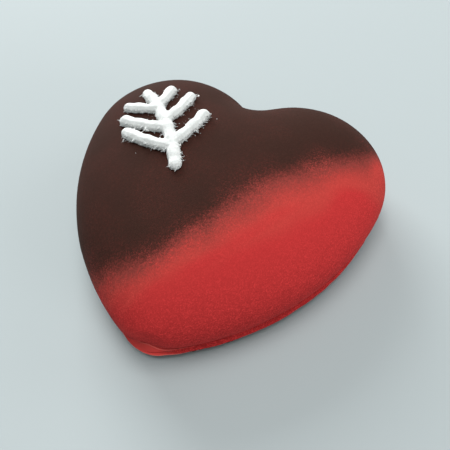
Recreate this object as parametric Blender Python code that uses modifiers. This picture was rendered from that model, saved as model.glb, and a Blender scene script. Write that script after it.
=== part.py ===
"""Heart shaped mousse cake: a domed, velvet sprayed heart on a low set-back base, with a piped sprig on one lobe.

Metres, +Z up. The floor is z = 0, the heart's mirror plane is x = 0 and its tip points along -Y.
"""

import math

import bmesh
import bpy
import numpy as np
from mathutils import Vector

# Plan of the heart at its rim
RIM_WIDTH = 0.1864
RIM_LENGTH = 0.1804
LOBE_RADIUS = 0.0528
FLANK_RADIUS = 0.1570
TIP_RADIUS = 0.0215
CLEFT_FILLET = 0.0055
OUTLINE_POINTS = 140
# How much closer than average the outline's points stand at the cleft and the tip
CROWDING = 0.5

# Side view of the heart
RIM_HEIGHT = 0.0056
SHOULDER_HEIGHT = 0.0168
DOME_RISE = 0.0416
DOME_REACH = 0.0700
BULGE = 0.0015
# Higher values let the edge's nearest stretch shape the dome more on its own
EDGE_BLEND = 5.0
# The dome's rings close in on this point of the mirror plane
DOME_CENTRE_Y = 0.05 * RIM_LENGTH
DOME_RINGS = 20
# How far up from crease to shoulder each ring of the wall lies
WALL_SHARES = (0.22, 0.48, 0.75, 1.0)

# Thin sloping lip left by the mould round the foot: the crease over it is deepest at the tip
LIP_THICKNESS = 0.0026
LIP_ROUNDING = 0.0006
LIP_SLOPE = 0.0019
TIP_CREASE = 0.0005
LOBE_CREASE = 0.0003
CREASE_FADE_Y = -0.0100
# Flap of skin folded over the lip at the tip: places across the tip, how far its edge stands over the lip's and
# out of the wall, how much deeper the crease behind it is, how deep the notch under it is and how far the
# wall over it is set back
FLAP_PLACES = (-0.0140, -0.0080, -0.0020, 0.0020, 0.0055, 0.0085, 0.0113, 0.0140, 0.0160)
FLAP_RISE = (0.0, 0.0030, 0.0044, 0.0052, 0.0036, 0.0016, 0.0002, 0.0, 0.0)
FLAP_STEP = (0.0, 0.0002, 0.0004, 0.0005, 0.0005, 0.0005, 0.0005, 0.0003, 0.0)
FLAP_CREASE = (0.0, 0.0002, 0.0006, 0.0010, 0.0012, 0.0012, 0.0011, 0.0006, 0.0)
FLAP_NOTCH = (0.0, 0.0, 0.0, 0.0003, 0.0008, 0.0011, 0.0012, 0.0008, 0.0)
FLAP_SETBACK = (0.0, 0.0, 0.0008, 0.0016, 0.0018, 0.0014, 0.0007, 0.0, 0.0)
FLAP_LEAN = 0.18
# The notch's rings: how far up the lip's face each lies, and its share of the notch's depth
NOTCH_RINGS = ((0.35, 0.0), (0.45, 1.0), (0.60, 0.4))
# The flap's rounded edge is drawn this far under its top
FLAP_ROUNDING = 0.0003

# Base that carries the heart
GAP = 0.0003
BASE_INSET = 0.0020
BASE_ROUNDING = 0.0008
SHARPEST_CORNER = math.radians(50.0)

# Piped sprig: a stem and its leaves, as ropes of one nozzle laid on the left lobe
ROPE_RADIUS = 0.0039
ROPE_SINK = 0.0037
ROPE_STEP = 0.0032
ROPE_SWELL = 0.09
SWELL_TURN = 1.9
ROPE_SIDES = 3
# A rope's rounded end is drawn at these turns round its ball, from its tip in
END_TURNS = (math.radians(75.0), math.radians(50.0), math.radians(25.0))
STEM_START = (-0.0135, -0.0105)
STEM_ANGLE = math.radians(119.0)
STEM_LENGTH = 0.0680
STEM_TURN = math.radians(22.0)
LEAF_TURN = math.radians(26.0)
LEAF_SPREAD = math.radians(60.0)
# Each leaf: how far up the stem it starts, its side (left 1, right -1) and its length
LEAVES = (
    (0.19, 1, 0.0320),
    (0.25, -1, 0.0290),
    (0.45, 1, 0.0290),
    (0.52, -1, 0.0270),
    (0.71, 1, 0.0200),
    (0.77, -1, 0.0175),
)

# Shreds that stand out along the ropes: most point to the side that the nozzle was pulled from
SHREDS_PER_METRE = 330.0
SHRED_LENGTH = (0.0012, 0.0030)
SHRED_RADIUS = 0.0008
SHRED_TAPER = 0.125
SHRED_SIDE = (0.80, -0.60)
SHREDS_PER_STRAY = 4
SHRED_SWING = 0.5
SHRED_RISE = (-0.05, 0.35)
SHRED_ROOT_HEIGHT = (0.2, 0.6)
SHRED_END_MARGIN = 0.3
SHRED_SEED = 7


def heart_arcs():
    """The right half's arcs from cleft to tip: centre, radius, first and last angle, side the heart lies on."""
    lobe = Vector((RIM_WIDTH / 2 - LOBE_RADIUS, RIM_LENGTH / 2 - LOBE_RADIUS))
    tip = Vector((0.0, -RIM_LENGTH / 2 + TIP_RADIUS))
    rise = math.sqrt((LOBE_RADIUS + CLEFT_FILLET) ** 2 - lobe.x ** 2)
    cleft = Vector((0.0, lobe.y + rise))
    # The flank's circle touches the lobe's and the tip's from outside
    to_tip = tip - lobe
    lobe_reach = FLANK_RADIUS - LOBE_RADIUS
    tip_reach = FLANK_RADIUS - TIP_RADIUS
    along = (to_tip.length_squared + lobe_reach ** 2 - tip_reach ** 2) / (2 * to_tip.length)
    across = math.sqrt(lobe_reach ** 2 - along ** 2)
    unit = to_tip.normalized()
    flank = lobe + unit * along + Vector((unit.y, -unit.x)) * across

    cleft_end = math.atan2(lobe.y - cleft.y, lobe.x)
    lobe_end = math.atan2(lobe.y - flank.y, lobe.x - flank.x)
    flank_end = math.atan2(tip.y - flank.y, tip.x - flank.x)
    return (
        (cleft, CLEFT_FILLET, -math.pi / 2, cleft_end, -1),
        (lobe, LOBE_RADIUS, cleft_end + math.pi, lobe_end, 1),
        (flank, FLANK_RADIUS, lobe_end, flank_end, 1),
        (tip, TIP_RADIUS, flank_end, -math.pi / 2, 1),
    )


def heart_outline(count):
    """Points round the rim, nearer together at the cleft and the tip, and the outward direction at each."""
    arcs = heart_arcs()
    lengths = [radius * abs(last - first) for _, radius, first, last, _ in arcs]
    half = count // 2
    points = []
    outwards = []
    for step in range(half + 1):
        share = step / half
        travel = sum(lengths) * (share - CROWDING * math.sin(math.tau * share) / math.tau)
        place = 0
        while place < len(arcs) - 1 and travel > lengths[place]:
            travel -= lengths[place]
            place += 1
        centre, radius, first, last, side = arcs[place]
        angle = first + (last - first) * min(travel / lengths[place], 1.0)
        direction = Vector((math.cos(angle), math.sin(angle)))
        points.append(centre + direction * radius)
        outwards.append(direction * side)
    right = np.array([(*point, *outward) for point, outward in zip(points, outwards)])
    left = right[-2:0:-1] * (-1, 1, -1, 1)
    both = np.concatenate((right, left))
    return both[:, :2], both[:, 2:]


def distance_in(points, edge):
    """Distance in from the edge, blended where two stretches of edge are equally near."""
    following = np.roll(edge, -1, axis=0)
    middles = (edge + following) / 2
    lengths = np.linalg.norm(following - edge, axis=1)
    reach = np.linalg.norm(points[:, None] - middles[None], axis=2)
    reach = np.maximum(reach, lengths / 2)
    straight = math.sqrt(math.pi) * math.gamma((EDGE_BLEND - 1) / 2) / math.gamma(EDGE_BLEND / 2)
    pull = (lengths / reach ** EDGE_BLEND).sum(axis=1)
    return (straight / pull) ** (1 / (EDGE_BLEND - 1))


def dome_height(points):
    """Height of the dome over points of the plan: a quarter ellipse of the distance in from the bulge."""
    outline, outwards = heart_outline(12 * OUTLINE_POINTS)
    inward = distance_in(np.asarray(points, float), outline + outwards * BULGE)
    left_over = 1 - np.minimum(inward / DOME_REACH, 1.0)
    return RIM_HEIGHT + SHOULDER_HEIGHT + DOME_RISE * np.sqrt(1 - left_over ** 2)


def dome_frame(x, y, lift=0.0):
    """A point over the dome's surface and the surface's upward normal there."""
    step = 0.0005
    plan = [(x, y), (x + step, y), (x - step, y), (x, y + step), (x, y - step)]
    height, east, west, north, south = dome_height(plan)
    normal = Vector((west - east, south - north, 2 * step)).normalized()
    return Vector((x, y, height)) + normal * lift, normal


def principled(name, colour, roughness):
    """A Principled material of one colour."""
    material = bpy.data.materials.new(name)
    material.use_nodes = True
    shader = material.node_tree.nodes["Principled BSDF"]
    shader.inputs["Base Color"].default_value = (*colour, 1.0)
    shader.inputs["Roughness"].default_value = roughness
    shader.inputs["Metallic"].default_value = 0.0
    material.diffuse_color = (*colour, 1.0)
    return material


def mesh_object(name, bm, collection):
    """An object made from a bmesh, with its normals facing out."""
    bmesh.ops.recalc_face_normals(bm, faces=bm.faces)
    mesh = bpy.data.meshes.new(name)
    bm.to_mesh(mesh)
    bm.free()
    mesh.shade_smooth()
    obj = bpy.data.objects.new(name, mesh)
    collection.objects.link(obj)
    return obj


def loft(rings):
    """A closed skin over unlike rings of equal length, each an array of points, with its two ends filled."""
    bm = bmesh.new()
    rows = [[bm.verts.new(point) for point in ring] for ring in rings]
    for lower, upper in zip(rows, rows[1:]):
        for corners in zip(lower, lower[1:] + lower[:1], upper[1:] + upper[:1], upper):
            bm.faces.new(corners)
    bm.faces.new(rows[0])
    top = bm.faces.new(rows[-1])
    bmesh.ops.poke(bm, faces=[top])
    return bm


def flap(outline, values):
    """One of the flap's measures at each point of the rim, drawn between its places across the tip."""
    near_tip = outline[:, 1] < -RIM_LENGTH / 4
    return np.where(near_tip, np.interp(outline[:, 0], FLAP_PLACES, values), 0.0)


def crease_depth(outline):
    """Depth of the crease over the lip at each point of the rim."""
    nearness = np.clip((CREASE_FADE_Y - outline[:, 1]) / (CREASE_FADE_Y + RIM_LENGTH / 2), 0.0, 1.0)
    return LOBE_CREASE + (TIP_CREASE - LOBE_CREASE) * nearness ** 2 + flap(outline, FLAP_CREASE)


def heart_rings(lift):
    """Rings of the heart from its underside to its top, the dome raised by lift."""
    outline, outwards = heart_outline(OUTLINE_POINTS)
    rise = flap(outline, FLAP_RISE)

    def wall_ring(offset, height):
        offset = np.broadcast_to(offset, rise.shape)
        height = np.broadcast_to(RIM_HEIGHT + height, rise.shape)
        return np.column_stack((outline + outwards * offset[:, None], height))

    rings = [wall_ring(-LIP_ROUNDING, 0.0), wall_ring(0.0, LIP_ROUNDING)]
    notch = flap(outline, FLAP_NOTCH)
    for share, depth in NOTCH_RINGS:
        height = LIP_ROUNDING + (LIP_THICKNESS - LIP_ROUNDING) * share
        rings.append(wall_ring(-LIP_SLOPE * share - notch * depth, height))

    edge_offset = -LIP_SLOPE - FLAP_LEAN * rise
    edge_height = LIP_THICKNESS + rise
    foot_offset = edge_offset - LIP_ROUNDING / 5 - flap(outline, FLAP_STEP)
    foot_height = edge_height + LIP_ROUNDING
    rings.append(wall_ring(edge_offset, edge_height - FLAP_ROUNDING))
    rings.append(wall_ring(edge_offset, edge_height))
    rings.append(wall_ring(foot_offset - crease_depth(outline), edge_height))
    # The wall swells out early, but over the flap it rises straighter
    straightness = rise / max(FLAP_RISE)
    bulge = BULGE - flap(outline, FLAP_SETBACK)
    for share in (0.0, *WALL_SHARES):
        swell = math.sin(share * math.pi / 2) * (1 - straightness) + share * straightness
        offset = foot_offset + (bulge - foot_offset) * swell
        height = foot_height + (SHOULDER_HEIGHT - foot_height) * share
        rings.append(wall_ring(offset, height + lift * share))

    centre = np.array((0.0, DOME_CENTRE_Y))
    shoulder = outline + outwards * bulge[:, None]
    for step in range(1, DOME_RINGS):
        plan = centre + (shoulder - centre) * math.cos(step / DOME_RINGS * math.pi / 2)
        rings.append(np.column_stack((plan, dome_height(plan) + lift)))
    return rings


def make_heart(collection):
    """The mousse heart: lip, crease, bulging wall and dome in one closed skin."""
    heart = mesh_object("mousse_heart", loft(heart_rings(0.0)), collection)
    heart.data.materials.append(principled("velvet_spray", (0.13, 0.018, 0.016), 0.85))
    return heart


def make_base(collection):
    """The low dark base, a heart of the same family set in from the rim."""
    outline, outwards = heart_outline(OUTLINE_POINTS)
    inset = outline - outwards * BASE_INSET
    curve = bpy.data.curves.new("biscuit_base", "CURVE")
    curve.dimensions = "2D"
    curve.fill_mode = "BOTH"
    curve.extrude = (RIM_HEIGHT - GAP) / 2
    spline = curve.splines.new("POLY")
    spline.points.add(len(inset) - 1)
    for point, (x, y) in zip(spline.points, inset):
        point.co = (x, y, 0.0, 1.0)
    spline.use_cyclic_u = True
    base = bpy.data.objects.new("biscuit_base", curve)
    base.location.z = curve.extrude
    collection.objects.link(base)
    weld = base.modifiers.new("Weld", "WELD")
    weld.merge_threshold = 0.00005
    bevel = base.modifiers.new("Rounded edges", "BEVEL")
    bevel.width = BASE_ROUNDING
    bevel.segments = 1
    bevel.limit_method = "ANGLE"
    bevel.angle_limit = SHARPEST_CORNER
    curve.materials.append(principled("chocolate_biscuit", (0.020, 0.010, 0.007), 0.9))
    return base


def arc_route(start, angle, length, turn):
    """Plan points of a stroke that starts at an angle and turns evenly along its length."""
    steps = max(4, round(length / ROPE_STEP))
    x, y = start
    route = [Vector((x, y))]
    for step in range(steps):
        heading = angle + turn * (step + 0.5) / steps
        x += math.cos(heading) * length / steps
        y += math.sin(heading) * length / steps
        route.append(Vector((x, y)))
    return route


def sprig_routes():
    """The stem's route and one route for each leaf."""
    stem = arc_route(STEM_START, STEM_ANGLE, STEM_LENGTH, STEM_TURN)
    routes = [stem]
    for share, side, length in LEAVES:
        place = round(share * (len(stem) - 1))
        heading = STEM_ANGLE + STEM_TURN * share + side * LEAF_SPREAD
        routes.append(arc_route(stem[place], heading, length, -side * LEAF_TURN))
    return routes


def rounded_end(end, neighbour):
    """Places past a route's end, from its tip in, each with the size that a ball has there."""
    outward = (end - neighbour).normalized()
    return [(end + outward * ROPE_RADIUS * math.sin(turn), math.cos(turn)) for turn in END_TURNS]


def rope(name, route, collection):
    """A round piped rope laid along a route on the dome, with rounded ends, as a closed mesh."""
    places = rounded_end(route[0], route[1])
    for step, point in enumerate(route):
        places.append((point, 1.0 + ROPE_SWELL * math.sin(step * SWELL_TURN + len(route))))
    places += reversed(rounded_end(route[-1], route[-2]))
    curve = bpy.data.curves.new(name, "CURVE")
    curve.dimensions = "3D"
    curve.bevel_depth = ROPE_RADIUS
    curve.bevel_resolution = ROPE_SIDES
    curve.use_fill_caps = True
    spline = curve.splines.new("POLY")
    spline.points.add(len(places) - 1)
    for point, (plan, size) in zip(spline.points, places):
        centre, _ = dome_frame(plan.x, plan.y, ROPE_RADIUS - ROPE_SINK)
        point.co = (*centre, 1.0)
        point.radius = size
    drawn = bpy.data.objects.new(name, curve)
    collection.objects.link(drawn)
    graph = bpy.context.evaluated_depsgraph_get()
    mesh = bpy.data.meshes.new_from_object(drawn.evaluated_get(graph))
    bpy.data.objects.remove(drawn)
    bpy.data.curves.remove(curve)
    bm = bmesh.new()
    bm.from_mesh(mesh)
    bpy.data.meshes.remove(mesh)
    bmesh.ops.remove_doubles(bm, verts=bm.verts, dist=0.00001)
    return mesh_object(name, bm, collection)


def make_shreds(routes, collection):
    """Short pointed shreds along both sides of the ropes, each a slim cone rooted inside its rope."""
    rng = np.random.default_rng(SHRED_SEED)
    side = Vector(SHRED_SIDE)
    for route in routes:
        length = (len(route) - 1) * ROPE_STEP
        for number in range(round(length * SHREDS_PER_METRE)):
            place = rng.uniform(SHRED_END_MARGIN, len(route) - 1 - SHRED_END_MARGIN)
            before = int(place)
            along = (route[before + 1] - route[before]).normalized()
            point = route[before].lerp(route[before + 1], place - before)
            across = Vector((along.y, -along.x))
            stray = number % SHREDS_PER_STRAY == 0
            if (across.dot(side) > 0) == stray:
                across.negate()
            reach = rng.uniform(*SHRED_LENGTH)
            plan = across + along * rng.uniform(-SHRED_SWING, SHRED_SWING)
            root, normal = dome_frame(point.x, point.y, rng.uniform(*SHRED_ROOT_HEIGHT) * ROPE_RADIUS)
            direction = Vector((*plan, 0.0))
            direction -= normal * direction.dot(normal)
            direction = (direction.normalized() + normal * rng.uniform(*SHRED_RISE)).normalized()
            depth = ROPE_RADIUS + reach
            bm = bmesh.new()
            tip_radius = SHRED_RADIUS * SHRED_TAPER
            bmesh.ops.create_cone(
                bm, cap_ends=True, segments=4, radius1=SHRED_RADIUS, radius2=tip_radius, depth=depth
            )
            turn = direction.to_track_quat("Z", "Y").to_matrix().to_4x4()
            bmesh.ops.transform(bm, matrix=turn, verts=bm.verts)
            bmesh.ops.translate(bm, vec=root + direction * depth / 2, verts=bm.verts)
            mesh_object("shred", bm, collection)


def apply_modifiers(obj):
    """Replaces an object's mesh by what its modifiers make of it."""
    graph = bpy.context.evaluated_depsgraph_get()
    mesh = bpy.data.meshes.new_from_object(obj.evaluated_get(graph))
    obj.modifiers.clear()
    obj.data = mesh


def make_sprig(collection, helpers):
    """The piped sprig: ropes and shreds joined into one solid whose underside follows the dome."""
    routes = sprig_routes()
    sprig = rope("piped_sprig", routes[0], collection)
    joined = bpy.data.collections.new("leaves and shreds")
    bpy.context.scene.collection.children.link(joined)
    for number, route in enumerate(routes[1:]):
        rope(f"leaf_{number}", route, joined)
    make_shreds(routes, joined)
    union = sprig.modifiers.new("Joined ropes", "BOOLEAN")
    union.operation = "UNION"
    union.operand_type = "COLLECTION"
    union.collection = joined
    union.solver = "EXACT"
    apply_modifiers(sprig)
    for obj in list(joined.objects):
        bpy.data.objects.remove(obj)
    bpy.data.collections.remove(joined)

    # Facets of the dome lie a little off its true surface, so the cutter stands a bit more than the gap above it
    cutter = mesh_object("dome_cutter", loft(heart_rings(GAP * 1.2)), helpers)
    cutter.hide_render = True
    cutter.display_type = "WIRE"
    trim = sprig.modifiers.new("Bedded on the dome", "BOOLEAN")
    trim.operation = "DIFFERENCE"
    trim.object = cutter
    trim.solver = "EXACT"
    sprig.data.materials.clear()
    sprig.data.materials.append(principled("white_piping", (0.86, 0.87, 0.85), 0.7))
    return sprig


def main():
    for obj in list(bpy.data.objects):
        bpy.data.objects.remove(obj)
    scene = bpy.context.scene.collection
    parts = bpy.data.collections.new("heart cake")
    helpers = bpy.data.collections.new("cutters")
    helpers.hide_render = True
    scene.children.link(parts)
    scene.children.link(helpers)
    make_heart(parts)
    make_base(parts)
    make_sprig(parts, helpers)


main()
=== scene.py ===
"""Heart shaped mousse cake: the finish of its velvet sprayed heart, biscuit base and piped sprig.

Metres, +Z up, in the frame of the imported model. The heart's tip points along -Y.
"""

import math

import bpy
import numpy as np
from bpy.props import FloatProperty, FloatVectorProperty, IntProperty, PointerProperty
from mathutils import Matrix, Vector
from mathutils.bvhtree import BVHTree


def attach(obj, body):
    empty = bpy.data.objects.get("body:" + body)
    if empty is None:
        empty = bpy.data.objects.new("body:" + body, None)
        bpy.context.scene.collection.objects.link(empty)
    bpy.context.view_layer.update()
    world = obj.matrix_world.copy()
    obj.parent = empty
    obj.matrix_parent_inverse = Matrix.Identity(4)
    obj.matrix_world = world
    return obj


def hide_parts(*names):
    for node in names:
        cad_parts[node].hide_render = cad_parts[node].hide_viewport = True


bl_info = {
    "name": "Heart mousse cake",
    "version": (1, 0, 0),
    "blender": (4, 5, 0),
    "location": "View3D > Sidebar > Cake",
    "description": "Finishes a velvet sprayed heart shaped mousse cake with a piped sprig",
    "category": "Object",
}

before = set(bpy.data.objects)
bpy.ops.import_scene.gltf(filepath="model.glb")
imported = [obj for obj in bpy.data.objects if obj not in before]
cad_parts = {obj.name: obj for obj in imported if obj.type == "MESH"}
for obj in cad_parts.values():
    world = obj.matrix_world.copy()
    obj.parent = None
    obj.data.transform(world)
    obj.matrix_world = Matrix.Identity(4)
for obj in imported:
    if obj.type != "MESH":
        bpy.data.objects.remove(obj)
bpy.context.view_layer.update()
MM = 0.001

# The red was sprayed from the front right: its edge crosses the plan square to this angle, creeps back
# as it runs down the wall, and bends away from the tip and the right lobe
RED_ANGLE = math.radians(-35.0)
RED_CREEP = 0.91
CREEP_TOP = 55 * MM
RED_BEND = 4.5 * MM
RED_SWING = 1.0 * MM
BEND_REACH = 50 * MM
# The thin coral band beside the edge widens towards the right lobe, by this much per millimetre of edge
CORAL_LEAN = 0.13
# Soft dabs that move the edge: place, reach and how far they move it, in millimetres. Most are where the gun
# lingered or missed; the two on the right rim, at x 78 and 88, stand partly for its brighter light, a painted
# highlight
DABS = (
    ((81, 30, 46), 12, -3),
    ((88, 45, 39), 8, 18),
    ((78, 11, 46), 12, 23),
    ((-28, -75, 33), 14, -3),
    ((8, -58, 55), 12, 3.5),
    ((-13, -31, 61), 22, -23),
    ((-2, -58, 56), 10, -3.5),
    ((9, -43, 59), 11, 3),
    ((22, 0, 63), 11, -2),
    ((40, -5, 60), 11, 3),
    ((57, 19, 57), 11, -2),
)
# Painted highlight, a lighter red, on the flap round the tip where the skin faces up: place and reach,
# in millimetres, and how strong
FLAP_HIGHLIGHT_PLACES = (((-5, -86, 10), 8, 1.0), ((6, -88, 9), 8, 1.0), ((-4, -90, 20), 9, 0.7))
# Single droplets carry the edge to and fro by up to this, and clouds of mist of each size by their shift
DROPLET_SHIFT = 6 * MM
MIST_CLOUDS = ((26 * MM, 8 * MM), (4 * MM, 4 * MM))
# Stray mist lies in clouds of this width. It is thin up to the first of these depths, full past the second
STRAY_WIDTH = 30 * MM
STRAY_DEPTHS = (-30 * MM, -4 * MM)
# The deep red comes in between these depths, in streaks of this width, length and height, which move it
DEEP_DEPTHS = (28 * MM, 50 * MM)
STREAK_SIZES = (14 * MM, 60 * MM, 30 * MM)
STREAK_SHIFT = 40 * MM
# The wall's droplets are fine over the first of these heights and coarse under the second
COARSE_HEIGHTS = (50 * MM, 20 * MM)
# Painted shade in the hollows and painted highlight on the ridges are weaker away from the tip: the Y where
# hollows and ridges start to count for more, how soon they count in full, and their least weight
SHADED_HOLLOWS = (-50 * MM, 28 * MM, 0.15)
HIGHLIT_RIDGES = (-76 * MM, 8 * MM, 0.10)
# Painted shade in hollows and painted highlight on ridges: the bends per metre where each starts and is full,
# how it blends, its colour
PAINTED_CREASE_SHADING = (
    (250.0, 650.0, "MULTIPLY", (0.32, 0.24, 0.27)),
    (-150.0, -450.0, "SCREEN", (0.30, 0.10, 0.08)),
)

# Width of the mould's slow waves, and of the rim's small ones, which fade in below a height
WAVE_WIDTH = 40 * MM
RIM_WAVE_WIDTH = 7 * MM
RIM_TOP = 16 * MM
RIM_FADE = 8 * MM

# Names of the skin's attributes that its material reads
DEPTH_LAYER = "red_depth"
CREASE_SHADE_LAYER = "crease_shade_and_highlight"
DEEP_LAYER = "deep_depth"
FLAP_HIGHLIGHT_LAYER = "painted_flap_highlight"

# The nozzle was pulled off to this side, so most of the icing's shreds point there. The evenness makes the
# sides more alike, and the least pull is what the far side gets
PULL_SIDE = Vector((0.80, -0.60, 0.0))
PULL_EVENNESS = 0.3
PULL_LEAST = 0.1
TEAR_SHARE = 0.6
# Icing tears on faces this upright and this high over the skin. Random points this near the ropes are tried
UPRIGHT = 0.8
TORN_HEIGHTS = (0.4 * MM, 4.2 * MM)
NEAR_ROPE = 0.4 * MM
TRIES_PER_PLACE = 2000
# Width of the swellings of the ropes, and of their torn texture
LUMP_WIDTH = 4.0 * MM
TEAR_WIDTH = 1.2 * MM
# A spike narrows by each share and leans over by each drift, a third of its length at a time
SPIKE_STEPS = ((0.80, 0.1), (0.65, 0.3), (0.25, 0.6))
SPIKE_LEANS = (0.3, 0.7, 1.1)
SPIKE_SWING = 0.7
SPIKE_RISE = (-0.25, 0.45)
SPIKE_SINK = 0.6 * MM
# Crumbs lie this far off the ropes at least, and on average this much farther
CRUMB_GAP = 0.8 * MM
CRUMB_DRIFT = 2.5 * MM
CRUMB_RADII = (0.12 * MM, 0.28 * MM)
CRUMB_SINK = 0.4
CRUMB_SEEDS = (1, 2, 3)

FLOOR_WIDTH = 6.0
SOFTBOX_DISTANCE = 3.0
CAMERA_PLACE = Vector((0.0790, -0.1629, 0.2427))
CAMERA_RIGHT = Vector((0.9276, 0.3731, -0.0175))
CAMERA_FORWARD = Vector((-0.2386, 0.5558, -0.7964))
SENSOR_WIDTH = 36.0


def linear(code):
    """Linear colour of an sRGB hex code."""
    channels = [int(code[place:place + 2], 16) / 255 for place in (0, 2, 4)]
    return tuple(c / 12.92 if c <= 0.04045 else ((c + 0.055) / 1.055) ** 2.4 for c in channels)


def colour_property(name, description, code):
    """A colour setting whose default is an sRGB hex code."""
    return FloatVectorProperty(
        name=name, description=description, subtype="COLOR", size=3, min=0.0, max=1.0, default=linear(code)
    )


def length_property(name, description, millimetres):
    """A length setting whose default is given in millimetres."""
    return FloatProperty(
        name=name, description=description, default=millimetres * MM, min=0.0, unit="LENGTH", precision=5
    )


def power_property(name, description, watts):
    """A light's power."""
    return FloatProperty(name=name, description=description, default=watts, min=0.0, unit="POWER")


class VelvetSettings(bpy.types.PropertyGroup):
    """The sprayed cocoa butter skin of the heart."""

    brown: colour_property("Brown", "Dark chocolate spray on the left and the top", "2e1d18")
    mingled: colour_property("Mingled", "Red droplets thinly spread on the brown", "76322d")
    coral: colour_property("Coral", "Thinner red next to the brown", "a63833")
    red: colour_property("Red", "Deep red spray on the front right side", "a72d2d")
    # Lighter red painted as a highlight on the flap at the tip, where it faces up
    lit_flap: colour_property("Lit flap", "Red rubbed thin on the flap at the tip", "c6423e")
    mist: FloatProperty(name="Mist", description="Share of stray red on the brown", default=0.08, min=0.0)
    red_start: length_property("Red start", "How far from the cake's middle the red starts", 32.7)
    fade: length_property("Fade", "Half the width of the fade from brown to red", 17.5)
    grain: length_property("Grain", "Size of the dried droplets of the spray", 0.55)
    swell: length_property("Swell", "Height of the mould's slow waves in the skin", 0.5)
    unevenness: length_property("Unevenness", "Height of the small waves of the thin rim", 0.6)
    rounds: IntProperty(name="Rounds", description="Subdivision levels of the skin", default=2, min=0, max=3)


class BiscuitSettings(bpy.types.PropertyGroup):
    """The dark biscuit that carries the heart."""

    biscuit: colour_property("Biscuit", "Dark cocoa biscuit", "2a1a14")
    crumb: length_property("Crumb", "Size of the biscuit's crumb", 1.6)
    pitting: length_property("Pitting", "Depth of the pits in the cut biscuit", 0.7)
    voxel: length_property("Voxel", "Grid that the biscuit is rebuilt on", 1.0)


class PipingSettings(bpy.types.PropertyGroup):
    """The white piped sprig."""

    icing: colour_property("Icing", "White icing", "bfc2c0")
    voxel: length_property("Voxel", "Grid that the piping is rebuilt on", 0.3)
    lumps: length_property("Lumps", "Height of the uneven swelling of the ropes", 0.4)
    tears: length_property("Tears", "Height of the torn texture on the ropes' sides", 0.4)
    teeth: IntProperty(name="Teeth", description="Torn teeth along the ropes", default=120, min=0, max=2000)
    fibres: IntProperty(name="Fibres", description="Fine fibres along the ropes", default=60, min=0, max=2000)
    crumbs: IntProperty(name="Crumbs", description="Loose crumbs round the ropes", default=20, min=0, max=400)
    seed: IntProperty(name="Seed", description="Start of the random draws", default=11, min=0)


class StageSettings(bpy.types.PropertyGroup):
    """Floor, light and camera."""

    floor: colour_property("Floor", "Plain pale floor", "98a0a1")
    top_power: power_property("Top light", "Power of the large soft light overhead", 92.0)
    left_power: power_property("Left light", "Power of the low soft light at the back left", 160.0)
    right_power: power_property("Right light", "Power of the low soft light at the back right", 24.0)
    fill_power: power_property("Fill light", "Power of the low soft light at the front right", 29.0)
    sky: FloatProperty(name="Sky", description="Strength of the light from all round", default=0.29, min=0.0)
    lens: FloatProperty(
        name="Lens", description="Focal length on a 36 mm sensor", default=38.4 * MM, unit="LENGTH"
    )


class CakeSettings(bpy.types.PropertyGroup):
    """All settings of the cake."""

    velvet: PointerProperty(type=VelvetSettings)
    biscuit: PointerProperty(type=BiscuitSettings)
    piping: PointerProperty(type=PipingSettings)
    stage: PointerProperty(type=StageSettings)


def add_node(tree, kind, settings=None, inputs=None, output=0):
    """Adds a node, sets its options, gives its inputs values or links, and returns one of its outputs."""
    node = tree.nodes.new(kind)
    for name, value in (settings or {}).items():
        setattr(node, name, value)
    for key, value in (inputs or {}).items():
        if isinstance(value, bpy.types.NodeSocket):
            tree.links.new(value, node.inputs[key])
        else:
            node.inputs[key].default_value = value
    return node.outputs[output] if node.outputs else None


def new_material(name):
    """An empty node material and its tree."""
    material = bpy.data.materials.new(name)
    material.use_nodes = True
    material.node_tree.nodes.clear()
    return material, material.node_tree


def set_ramp(socket, stops):
    """Gives the colour ramp behind a socket its stops, each a place and a colour."""
    elements = socket.node.color_ramp.elements
    while len(elements) < len(stops):
        elements.new(1.0)
    for element, (place, colour) in zip(elements, stops):
        element.position = place
        element.color = (*colour, 1.0)


def take_up(obj):
    """Makes an object the only one selected, and the active one."""
    bpy.ops.object.select_all(action="DESELECT")
    obj.select_set(True)
    bpy.context.view_layer.objects.active = obj


def copy_of_node(node, name):
    """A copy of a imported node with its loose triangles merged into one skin."""
    piece = bpy.data.objects.new(name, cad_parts[node].data.copy())
    bpy.context.scene.collection.objects.link(piece)
    piece.data.materials.clear()
    take_up(piece)
    bpy.ops.mesh.customdata_custom_splitnormals_clear()
    bpy.ops.object.mode_set(mode="EDIT")
    bpy.ops.mesh.select_all(action="SELECT")
    bpy.ops.mesh.remove_doubles(threshold=0.01 * MM)
    bpy.ops.object.mode_set(mode="OBJECT")
    return piece


def apply_modifier(piece, kind, **settings):
    """Adds a modifier with its settings and applies it."""
    take_up(piece)
    modifier = piece.modifiers.new(kind.title(), kind)
    for name, value in settings.items():
        setattr(modifier, name, value)
    bpy.ops.object.modifier_apply(modifier=modifier.name)


def rough_up(piece, kind, size, height, mid_level=0.5, group=""):
    """Moves a piece's skin in and out by a procedural texture of a given grain size."""
    texture = bpy.data.textures.new(piece.name + " relief", kind)
    texture.noise_scale = size
    apply_modifier(
        piece,
        "DISPLACE",
        texture=texture,
        texture_coords="LOCAL",
        strength=height,
        mid_level=mid_level,
        vertex_group=group,
    )


def finish_piece(piece, material, replaced=None):
    """Gives a piece its material and its body, and hides the node that it replaces."""
    piece.data.materials.clear()
    piece.data.materials.append(material)
    take_up(piece)
    bpy.ops.object.shade_smooth()
    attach(piece, "root")
    if replaced:
        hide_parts(replaced)


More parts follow.
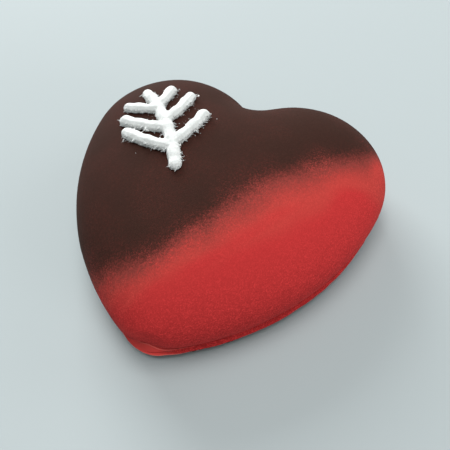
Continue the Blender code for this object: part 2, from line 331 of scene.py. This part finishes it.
def red_depths(points, start):
    """How far into the red each point lies, in metres, before any grain, and how far into the deep red."""
    way = np.array((math.cos(RED_ANGLE), math.sin(RED_ANGLE)))
    across = points[:, :2] @ way
    along = points[:, :2] @ (-way[1], way[0])
    bent = along / BEND_REACH
    depth = across - start + RED_CREEP * (CREEP_TOP - points[:, 2]) - RED_BEND * bent**2 - RED_SWING * bent**3
    for place, reach, shift in DABS:
        apart = np.linalg.norm(points - np.array(place) * MM, axis=1)
        depth += shift * MM * np.exp(-((apart / (reach * MM)) ** 2))
    return depth, depth - CORAL_LEAN * along


def painted_flap_highlight(points, normals):
    """How much painted highlight, a lighter red, each point gets: only where the skin does not face down near
    one of the flap's places.
    """
    share = np.zeros(len(points))
    for place, reach, flap_highlight_share in FLAP_HIGHLIGHT_PLACES:
        apart = np.linalg.norm(points - np.array(place) * MM, axis=1)
        share += flap_highlight_share * np.exp(-((apart / (reach * MM)) ** 2))
    return np.clip(share, 0.0, 1.0) * np.clip(0.2 + 5.0 * normals[:, 2], 0.0, 1.0)


def towards_tip(points, start, fade, least):
    """A weight that grows from its least value at a start to one, towards the tip."""
    return least + (1 - least) * np.clip((start - points[:, 1]) / fade, 0.0, 1.0)


def crease_shade_and_highlight(points, normals, ends):
    """How sharply the skin bends at each point, per metre: above zero in hollows, below zero on ridges.

    Away from the tip they count for less, as do all ridges but the flap's: the painted shade in hollows and
    the painted highlight on ridges are weaker there.
    """
    total = np.zeros(len(points))
    for here, there in ((0, 1), (1, 0)):
        step = points[ends[:, there]] - points[ends[:, here]]
        rise = (step * normals[ends[:, here]]).sum(axis=1) / (step**2).sum(axis=1)
        total += np.bincount(ends[:, here], rise, len(points))
    bends = total / np.bincount(ends.ravel(), minlength=len(points))
    return bends * np.where(bends > 0, towards_tip(points, *SHADED_HOLLOWS), towards_tip(points, *HIGHLIT_RIDGES))


# Cocoa butter spray, airbrushed on the frozen mousse: matt droplets that freeze as a soft velvet grain
def velvet_material(settings):
    material, tree = new_material("Cocoa butter velvet spray")
    place = add_node(tree, "ShaderNodeTexCoord", output="Object")
    depth = add_node(tree, "ShaderNodeAttribute", {"attribute_name": DEPTH_LAYER}, output="Fac")

    # Clouds of mist and single droplets carry the edge to and fro. Real droplets are about 0.3 mm:
    # they are drawn larger so that they show, and their outlines are ragged
    ragged = add_node(
        tree,
        "ShaderNodeTexNoise",
        {},
        {"Vector": place, "Scale": 2 / settings.grain, "Detail": 1.0},
        output="Color",
    )
    droplet_place = add_node(
        tree,
        "ShaderNodeVectorMath",
        {"operation": "MULTIPLY_ADD"},
        {0: ragged, 1: (1.5 * settings.grain,) * 3, 2: place},
    )
    droplets = add_node(
        tree,
        "ShaderNodeTexVoronoi",
        {},
        {"Vector": droplet_place, "Scale": 1 / settings.grain},
        output="Color",
    )
    wandering = add_node(
        tree, "ShaderNodeMath", {"operation": "MULTIPLY_ADD"}, {0: droplets, 1: DROPLET_SHIFT, 2: depth}
    )
    for size, shift in MIST_CLOUDS:
        cloud = add_node(tree, "ShaderNodeTexNoise", {}, {"Vector": place, "Scale": 1 / size, "Detail": 1.0})
        wandering = add_node(
            tree, "ShaderNodeMath", {"operation": "MULTIPLY_ADD"}, {0: cloud, 1: shift, 2: wandering}
        )
    middle = 0.5 * (DROPLET_SHIFT + sum(shift for _, shift in MIST_CLOUDS))
    redness = add_node(
        tree,
        "ShaderNodeMapRange",
        {"interpolation_type": "SMOOTHSTEP"},
        {"Value": wandering, "From Min": middle - settings.fade, "From Max": middle + settings.fade},
    )

    # Stray red mist thins out over the brown in slow clouds of droplets, of which few are large
    clouds = add_node(
        tree, "ShaderNodeTexNoise", {}, {"Vector": place, "Scale": 1 / STRAY_WIDTH, "Detail": 1.0}
    )
    thickness = add_node(
        tree,
        "ShaderNodeMapRange",
        {"interpolation_type": "SMOOTHSTEP"},
        {"Value": clouds, "From Min": 0.35, "From Max": 0.65, "To Min": 0.3, "To Max": 1.7},
    )
    large = add_node(tree, "ShaderNodeMath", {"operation": "POWER"}, {0: droplets, 1: 3.0})
    sizes = add_node(tree, "ShaderNodeMath", {"operation": "MULTIPLY_ADD"}, {0: large, 1: 3.0, 2: 0.25})
    thickness = add_node(tree, "ShaderNodeMath", {"operation": "MULTIPLY"}, {0: thickness, 1: sizes})
    drift = add_node(
        tree,
        "ShaderNodeMapRange",
        {"interpolation_type": "SMOOTHSTEP"},
        {
            "Value": depth,
            "From Min": STRAY_DEPTHS[0],
            "From Max": STRAY_DEPTHS[1],
            "To Min": 0.15 * settings.mist,
            "To Max": settings.mist,
        },
    )
    dusting = add_node(tree, "ShaderNodeMath", {"operation": "MULTIPLY"}, {0: drift, 1: thickness})
    share = add_node(
        tree, "ShaderNodeMath", {"operation": "ADD", "use_clamp": True}, {0: redness, 1: dusting}
    )
    tones = add_node(tree, "ShaderNodeValToRGB", {}, {"Fac": share})
    set_ramp(tones, [(0.0, settings.brown), (0.4, settings.mingled), (1.0, settings.coral)])

    # Past the fade the red is thin and coral first, then deep, in long streaks beside the edge
    streak_place = add_node(
        tree,
        "ShaderNodeMapping",
        {"vector_type": "TEXTURE"},
        {"Vector": place, "Rotation": (0.0, 0.0, RED_ANGLE), "Scale": STREAK_SIZES},
    )
    streaks = add_node(tree, "ShaderNodeTexNoise", {}, {"Vector": streak_place, "Scale": 1.0, "Detail": 2.0})
    deep = add_node(tree, "ShaderNodeAttribute", {"attribute_name": DEEP_LAYER}, output="Fac")
    streaked = add_node(
        tree, "ShaderNodeMath", {"operation": "MULTIPLY_ADD"}, {0: streaks, 1: STREAK_SHIFT, 2: deep}
    )
    deepening = add_node(
        tree,
        "ShaderNodeMapRange",
        {"interpolation_type": "SMOOTHSTEP"},
        {"Value": streaked, "From Min": DEEP_DEPTHS[0], "From Max": DEEP_DEPTHS[1]},
    )
    sprayed = add_node(
        tree,
        "ShaderNodeMix",
        {"data_type": "RGBA"},
        {"Factor": deepening, 6: tones, 7: (*settings.red, 1.0)},
        output=2,
    )

    # Droplets lie thicker and coarser low on the wall, where the gun was held close: a few are much lighter
    height = add_node(tree, "ShaderNodeSeparateXYZ", {}, {"Vector": place}, output="Z")
    low = add_node(
        tree,
        "ShaderNodeMapRange",
        {},
        {
            "Value": height,
            "From Min": COARSE_HEIGHTS[0],
            "From Max": COARSE_HEIGHTS[1],
            "To Min": 0.2,
            "To Max": 0.85,
        },
    )
    spots = add_node(
        tree,
        "ShaderNodeTexVoronoi",
        {},
        {"Vector": droplet_place, "Scale": 1 / (0.8 * settings.grain)},
        output="Color",
    )
    spot_tones = add_node(tree, "ShaderNodeValToRGB", {}, {"Fac": spots})
    set_ramp(spot_tones, [(0.1, (0.54, 0.54, 0.54)), (0.6, (1.0, 1.0, 1.0)), (0.9, (1.7, 1.85, 1.85))])
    speckled = add_node(
        tree,
        "ShaderNodeMix",
        {"data_type": "RGBA", "blend_type": "MULTIPLY"},
        {"Factor": low, 6: sprayed, 7: spot_tones},
        output=2,
    )

    # Painted highlight: a lighter red on the flap at the tip where it faces up; then painted shade in the
    # hollows and painted highlight on the ridges
    flap_highlight_share = add_node(tree, "ShaderNodeAttribute", {"attribute_name": FLAP_HIGHLIGHT_LAYER}, output="Fac")
    speckled = add_node(
        tree,
        "ShaderNodeMix",
        {"data_type": "RGBA"},
        {"Factor": flap_highlight_share, 6: speckled, 7: (*settings.lit_flap, 1.0)},
        output=2,
    )
    # Painted shade darkens the hollows and painted highlight lightens the ridges, by how sharply the skin
    # bends
    bend = add_node(tree, "ShaderNodeAttribute", {"attribute_name": CREASE_SHADE_LAYER}, output="Fac")
    for first, last, blend, tone in PAINTED_CREASE_SHADING:
        reach = add_node(
            tree, "ShaderNodeMapRange", {}, {"Value": bend, "From Min": first, "From Max": last}
        )
        speckled = add_node(
            tree,
            "ShaderNodeMix",
            {"data_type": "RGBA", "blend_type": blend},
            {"Factor": reach, 6: speckled, 7: (*tone, 1.0)},
            output=2,
        )

    fine = add_node(
        tree, "ShaderNodeTexNoise", {}, {"Vector": place, "Scale": 1 / (0.8 * settings.grain), "Detail": 2.0}
    )
    bump = add_node(tree, "ShaderNodeBump", {}, {"Strength": 0.4, "Distance": 0.25 * MM, "Height": fine})
    shader = add_node(
        tree,
        "ShaderNodeBsdfPrincipled",
        {},
        {
            "Base Color": speckled,
            "Roughness": 0.8,
            "Specular IOR Level": 0.02,
            "Sheen Weight": 0.015,
            "Sheen Roughness": 0.4,
            "Sheen Tint": (0.80, 0.84, 0.74, 1.0),
            "Normal": bump,
        },
    )
    add_node(tree, "ShaderNodeOutputMaterial", {}, {"Surface": shader})
    return material


# Baked cocoa biscuit, cut with a knife: dark, dry and pitted
def biscuit_material(settings):
    material, tree = new_material("Dark cocoa biscuit")
    place = add_node(tree, "ShaderNodeTexCoord", output="Object")
    crumb = add_node(
        tree, "ShaderNodeTexNoise", {}, {"Vector": place, "Scale": 1 / settings.crumb, "Detail": 4.0}
    )
    dark = tuple(0.45 * c for c in settings.biscuit)
    light = tuple(1.5 * c for c in settings.biscuit)
    colours = add_node(tree, "ShaderNodeValToRGB", {}, {"Fac": crumb})
    set_ramp(colours, [(0.3, dark), (0.7, light)])
    bump = add_node(tree, "ShaderNodeBump", {}, {"Strength": 0.6, "Distance": 0.5 * MM, "Height": crumb})
    shader = add_node(
        tree,
        "ShaderNodeBsdfPrincipled",
        {},
        {"Base Color": colours, "Roughness": 0.92, "Specular IOR Level": 0.2, "Normal": bump},
    )
    add_node(tree, "ShaderNodeOutputMaterial", {}, {"Surface": shader})
    return material


# Whipped white icing, piped cold and torn along its edges: matt, with a little light inside it
def icing_material(settings):
    material, tree = new_material("White piped icing")
    place = add_node(tree, "ShaderNodeTexCoord", output="Object")
    tears = add_node(
        tree, "ShaderNodeTexNoise", {}, {"Vector": place, "Scale": 1 / (0.9 * MM), "Detail": 3.0}
    )
    thin = tuple(0.9 * c for c in settings.icing)
    colours = add_node(tree, "ShaderNodeValToRGB", {}, {"Fac": tears})
    set_ramp(colours, [(0.3, thin), (0.6, settings.icing)])
    bump = add_node(tree, "ShaderNodeBump", {}, {"Strength": 0.4, "Distance": 0.3 * MM, "Height": tears})
    shader = add_node(
        tree,
        "ShaderNodeBsdfPrincipled",
        {},
        {
            "Base Color": colours,
            "Roughness": 0.7,
            "Specular IOR Level": 0.3,
            "Subsurface Weight": 0.5,
            "Subsurface Radius": (1.0, 0.95, 0.9),
            "Subsurface Scale": 2.0 * MM,
            "Normal": bump,
        },
    )
    add_node(tree, "ShaderNodeOutputMaterial", {}, {"Surface": shader})
    return material


class CAKE_OT_velvet_heart(bpy.types.Operator):
    """Makes the heart's velvet sprayed skin"""

    bl_idname = "cake.velvet_heart"
    bl_label = "Velvet heart"

    def execute(self, context):
        settings = context.scene.heart_cake.velvet
        skin = copy_of_node("mousse_heart", "velvet_heart")
        bpy.ops.object.mode_set(mode="EDIT")
        bpy.ops.mesh.select_all(action="SELECT")
        bpy.ops.mesh.tris_convert_to_quads(
            face_threshold=math.radians(70), shape_threshold=math.radians(70)
        )
        bpy.ops.object.mode_set(mode="OBJECT")
        apply_modifier(skin, "SUBSURF", levels=settings.rounds, render_levels=settings.rounds)
        rough_up(skin, "CLOUDS", WAVE_WIDTH, settings.swell)
        rim = skin.vertex_groups.new(name="rim")
        for vertex in skin.data.vertices:
            rim.add([vertex.index], min(max((RIM_TOP - vertex.co.z) / RIM_FADE, 0.0), 1.0), "REPLACE")
        rough_up(skin, "CLOUDS", RIM_WAVE_WIDTH, settings.unevenness, group=rim.name)
        points = np.array([vertex.co for vertex in skin.data.vertices])
        normals = np.array([vertex.normal for vertex in skin.data.vertices])
        ends = np.array([edge.vertices for edge in skin.data.edges])
        depth, deep_depth = red_depths(points, settings.red_start)
        layers = {
            DEPTH_LAYER: depth,
            DEEP_LAYER: deep_depth,
            CREASE_SHADE_LAYER: crease_shade_and_highlight(points, normals, ends),
            FLAP_HIGHLIGHT_LAYER: painted_flap_highlight(points, normals),
        }
        for name, values in layers.items():
            layer = skin.data.attributes.new(name, "FLOAT", "POINT")
            layer.data.foreach_set("value", values)
        finish_piece(skin, velvet_material(settings), "mousse_heart")
        return {"FINISHED"}


class CAKE_OT_biscuit_base(bpy.types.Operator):
    """Makes the dark biscuit under the heart"""

    bl_idname = "cake.biscuit_base"
    bl_label = "Biscuit base"

    def execute(self, context):
        settings = context.scene.heart_cake.biscuit
        base = copy_of_node("biscuit_base", "cut_biscuit")
        apply_modifier(base, "REMESH", mode="VOXEL", voxel_size=settings.voxel)
        rough_up(base, "STUCCI", settings.crumb, settings.pitting, 1.0)
        finish_piece(base, biscuit_material(settings), "biscuit_base")
        return {"FINISHED"}


class CAKE_OT_piped_sprig(bpy.types.Operator):
    """Makes the white ropes of the sprig, smooth on top and torn on their sides"""

    bl_idname = "cake.piped_sprig"
    bl_label = "Piped sprig"

    def execute(self, context):
        settings = context.scene.heart_cake.piping
        piping = copy_of_node("piped_sprig", "piped_icing")
        apply_modifier(piping, "REMESH", mode="VOXEL", voxel_size=settings.voxel)
        apply_modifier(piping, "SMOOTH", iterations=12)
        sides = piping.vertex_groups.new(name="sides")
        for vertex in piping.data.vertices:
            sides.add([vertex.index], 1.0 - max(vertex.normal.z, 0.0) ** 2, "REPLACE")
        rough_up(piping, "CLOUDS", LUMP_WIDTH, settings.lumps)
        rough_up(piping, "CLOUDS", TEAR_WIDTH, settings.tears, 0.6, sides.name)
        finish_piece(piping, icing_material(settings), "piped_sprig")
        return {"FINISHED"}


def spike_model(name, lean):
    """A five-sided spike, one unit wide at its root and one long, that leans over to one side."""
    bpy.ops.object.select_all(action="DESELECT")
    bpy.ops.mesh.primitive_cylinder_add(vertices=5, radius=1.0, depth=0.1, location=(0.0, 0.0, -0.05))
    spike = bpy.context.object
    spike.name = name
    bpy.ops.object.transform_apply()
    for face in spike.data.polygons:
        face.select = face.normal.z > 0.9
    bpy.ops.object.mode_set(mode="EDIT")
    bpy.ops.mesh.select_mode(type="FACE")
    centre = Vector((0.0, 0.0, 0.0))
    for width, drift in SPIKE_STEPS:
        step = Vector((lean * drift, 0.0, 1 / 3))
        centre += step
        bpy.ops.mesh.extrude_region_move(TRANSFORM_OT_translate={"value": step})
        bpy.ops.transform.resize(value=(width, width, 1.0), center_override=centre)
    bpy.ops.object.mode_set(mode="OBJECT")
    return spike


def crumb_model(name, seed):
    """A lumpy crumb of one unit radius."""
    bpy.ops.object.select_all(action="DESELECT")
    bpy.ops.mesh.primitive_ico_sphere_add(subdivisions=2, radius=1.0)
    crumb = bpy.context.object
    crumb.name = name
    bpy.ops.object.mode_set(mode="EDIT")
    bpy.ops.mesh.select_all(action="SELECT")
    bpy.ops.transform.vertex_random(offset=0.35, uniform=1.0, seed=seed)
    bpy.ops.object.mode_set(mode="OBJECT")
    return crumb


def join_copies(name, models, places):
    """One piece made of a copy of a model at each place, taking the models in turn, then removing them."""
    points = []
    faces = []
    for number, place in enumerate(places):
        mesh = models[number % len(models)].data
        first = len(points)
        points += [place @ vertex.co for vertex in mesh.vertices]
        faces += [[first + corner for corner in face.vertices] for face in mesh.polygons]
    joined = bpy.data.meshes.new(name)
    joined.from_pydata(points, [], faces)
    piece = bpy.data.objects.new(name, joined)
    bpy.context.scene.collection.objects.link(piece)
    for model in models:
        bpy.data.objects.remove(model)
    return piece


def surface_tree(piece):
    """A search tree over a piece's faces."""
    return BVHTree.FromObject(piece, bpy.context.evaluated_depsgraph_get())


def torn_places(piping, skin, count, spacing, rng):
    """Places low on the ropes' sides, apart from each other, each with the skin's normal and the way out.

    Random points near the ropes are moved onto them, so the places don't hang on the order of the mesh.
    """
    ropes = surface_tree(piping)
    box = np.array(piping.bound_box)
    chosen = np.empty((0, 3))
    places = []
    for _ in range(TRIES_PER_PLACE * count):
        spot = Vector(rng.uniform(box.min(axis=0), box.max(axis=0)))
        chance = rng.random()
        centre, normal, _, away = ropes.find_nearest(spot)
        pulled = max(PULL_EVENNESS + normal.dot(PULL_SIDE), PULL_LEAST)
        if away > NEAR_ROPE or chance > TEAR_SHARE * pulled**2 * (1 - normal.z**2):
            continue
        under, up, _, _ = skin.find_nearest(centre)
        rise = (centre - under).dot(up)
        out = normal - up * up.dot(normal)
        crowded = len(chosen) and np.linalg.norm(chosen - np.array(centre), axis=1).min() < spacing
        if not TORN_HEIGHTS[0] < rise < TORN_HEIGHTS[1] or out.length < UPRIGHT or crowded:
            continue
        chosen = np.vstack((chosen, centre))
        places.append((centre, up, out.normalized()))
        if len(places) == count:
            break
    return places


def spike_places(places, radii, lengths, rng):
    """A matrix for a spike at each torn place, turned outwards with some swing."""
    matrices = []
    for centre, up, out in places:
        along = up.cross(out)
        way = out + along * rng.uniform(-SPIKE_SWING, SPIKE_SWING) + up * rng.uniform(*SPIKE_RISE)
        way.normalize()
        radius = rng.uniform(*radii)
        length = lengths[0] + (lengths[1] - lengths[0]) * rng.random() ** 2
        size = Matrix.Diagonal((radius, radius * rng.uniform(0.5, 1.0), length + SPIKE_SINK, 1.0))
        spin = Matrix.Rotation(rng.uniform(0.0, math.tau), 4, "Z")
        turn = way.to_track_quat("Z", "Y").to_matrix().to_4x4()
        matrices.append(Matrix.Translation(centre - way * SPIKE_SINK) @ turn @ size @ spin)
    return matrices


class CAKE_OT_torn_icing(bpy.types.Operator):
    """Makes the teeth and fibres torn out of the ropes' sides"""

    bl_idname = "cake.torn_icing"
    bl_label = "Torn icing"

    def execute(self, context):
        settings = context.scene.heart_cake.piping
        rng = np.random.default_rng(settings.seed)
        piping = bpy.data.objects["piped_icing"]
        skin = surface_tree(bpy.data.objects["velvet_heart"])
        kinds = (
            ("icing_teeth", settings.teeth, 1.6 * MM, (0.5 * MM, 0.8 * MM), (0.9 * MM, 2.6 * MM)),
            ("icing_fibres", settings.fibres, 1.6 * MM, (0.15 * MM, 0.3 * MM), (0.8 * MM, 2.4 * MM)),
        )
        for name, count, spacing, radii, lengths in kinds:
            places = torn_places(piping, skin, count, spacing, rng)
            models = [spike_model("spike", lean) for lean in SPIKE_LEANS]
            spikes = join_copies(name, models, spike_places(places, radii, lengths, rng))
            finish_piece(spikes, piping.data.materials[0])
        return {"FINISHED"}


class CAKE_OT_icing_crumbs(bpy.types.Operator):
    """Scatters loose crumbs of icing round the ropes"""

    bl_idname = "cake.icing_crumbs"
    bl_label = "Icing crumbs"

    def execute(self, context):
        settings = context.scene.heart_cake.piping
        rng = np.random.default_rng(settings.seed + 1)
        piping = bpy.data.objects["piped_icing"]
        skin = surface_tree(bpy.data.objects["velvet_heart"])
        ropes = surface_tree(piping)
        matrices = []
        for centre, up, out in torn_places(piping, skin, 3 * settings.crumbs, 1.0 * MM, rng):
            spot = centre + out * (CRUMB_GAP + rng.exponential(CRUMB_DRIFT))
            under, up, _, _ = skin.find_nearest(spot)
            radius = rng.uniform(*CRUMB_RADII)
            if ropes.find_nearest(under)[3] < 2 * radius:
                continue
            widths = (radius, radius * rng.uniform(0.6, 1.0), radius * rng.uniform(0.5, 0.8), 1.0)
            size = Matrix.Diagonal(widths)
            turn = up.to_track_quat("Z", "Y").to_matrix().to_4x4()
            spin = Matrix.Rotation(rng.uniform(0.0, math.tau), 4, "Z")
            matrices.append(Matrix.Translation(under + up * radius * CRUMB_SINK) @ turn @ spin @ size)
            if len(matrices) == settings.crumbs:
                break
        models = [crumb_model("crumb", seed) for seed in CRUMB_SEEDS]
        crumbs = join_copies("icing_crumbs", models, matrices)
        finish_piece(crumbs, piping.data.materials[0])
        return {"FINISHED"}


class CAKE_OT_stage(bpy.types.Operator):
    """Makes the floor, the soft light and the camera"""

    bl_idname = "cake.stage"
    bl_label = "Stage"

    def execute(self, context):
        settings = context.scene.heart_cake.stage
        self.add_floor(settings)
        self.add_sky(context, settings)
        self.add_softbox("top light", (0.0, 0.0, 1.0), 2.0, settings.top_power)
        self.add_softbox("left light", (-0.7, 0.7, 0.4), 2.0, settings.left_power)
        self.add_softbox("right light", (0.7, 0.7, 0.4), 2.0, settings.right_power)
        self.add_softbox("fill light", (0.94, -0.25, 0.21), 1.2, settings.fill_power)
        self.add_camera(context, settings)
        return {"FINISHED"}

    def add_floor(self, settings):
        bpy.ops.object.select_all(action="DESELECT")
        bpy.ops.mesh.primitive_plane_add(size=FLOOR_WIDTH)
        floor = bpy.context.object
        floor.name = "floor"
        material, tree = new_material("Matt pale table top")
        shader = add_node(
            tree,
            "ShaderNodeBsdfPrincipled",
            {},
            {"Base Color": (*settings.floor, 1.0), "Roughness": 0.9, "Specular IOR Level": 0.1},
        )
        add_node(tree, "ShaderNodeOutputMaterial", {}, {"Surface": shader})
        floor.data.materials.append(material)

    def add_sky(self, context, settings):
        world = bpy.data.worlds.new("Soft room light")
        world.use_nodes = True
        background = world.node_tree.nodes["Background"]
        background.inputs["Color"].default_value = (0.93, 0.98, 1.0, 1.0)
        background.inputs["Strength"].default_value = settings.sky
        context.scene.world = world
        context.scene.view_settings.view_transform = "Standard"

    def add_softbox(self, name, direction, width, power):
        place = Vector(direction).normalized() * SOFTBOX_DISTANCE
        bpy.ops.object.light_add(type="AREA", location=place)
        light = bpy.context.object
        light.name = name
        light.rotation_euler = (-place).to_track_quat("-Z", "Y").to_euler()
        light.data.energy = power
        light.data.size = width

    def add_camera(self, context, settings):
        back = -CAMERA_FORWARD.normalized()
        up = back.cross(CAMERA_RIGHT).normalized()
        side = up.cross(back)
        bpy.ops.object.camera_add(location=CAMERA_PLACE)
        camera = bpy.context.object
        camera.name = "camera"
        camera.rotation_euler = Matrix((side, up, back)).transposed().to_euler()
        camera.data.sensor_width = SENSOR_WIDTH
        camera.data.lens = settings.lens / MM
        camera.data.clip_start = 10 * MM
        context.scene.camera = camera


class CAKE_PT_panel(bpy.types.Panel):
    """Lists the cake's settings and pieces"""

    bl_idname = "CAKE_PT_panel"
    bl_label = "Heart mousse cake"
    bl_space_type = "VIEW_3D"
    bl_region_type = "UI"
    bl_category = "Cake"

    def draw(self, context):
        cake = context.scene.heart_cake
        for group, operators in GROUPS.items():
            box = self.layout.box()
            for operator in operators:
                box.operator(operator.bl_idname)
            settings = getattr(cake, group)
            for name in settings.__annotations__:
                box.prop(settings, name)


# Each group of settings and the operators that read it, in the order of making
GROUPS = {
    "velvet": (CAKE_OT_velvet_heart,),
    "biscuit": (CAKE_OT_biscuit_base,),
    "piping": (CAKE_OT_piped_sprig, CAKE_OT_torn_icing, CAKE_OT_icing_crumbs),
    "stage": (CAKE_OT_stage,),
}
CLASSES = (
    VelvetSettings,
    BiscuitSettings,
    PipingSettings,
    StageSettings,
    CakeSettings,
    *(operator for operators in GROUPS.values() for operator in operators),
    CAKE_PT_panel,
)


def register():
    for kind in CLASSES:
        bpy.utils.register_class(kind)
    bpy.types.Scene.heart_cake = PointerProperty(type=CakeSettings)


def unregister():
    del bpy.types.Scene.heart_cake
    for kind in reversed(CLASSES):
        bpy.utils.unregister_class(kind)


def main():
    register()
    bpy.ops.cake.velvet_heart()
    bpy.ops.cake.biscuit_base()
    bpy.ops.cake.piped_sprig()
    bpy.ops.cake.torn_icing()
    bpy.ops.cake.icing_crumbs()
    bpy.ops.cake.stage()


if __name__ == "__main__":
    main()
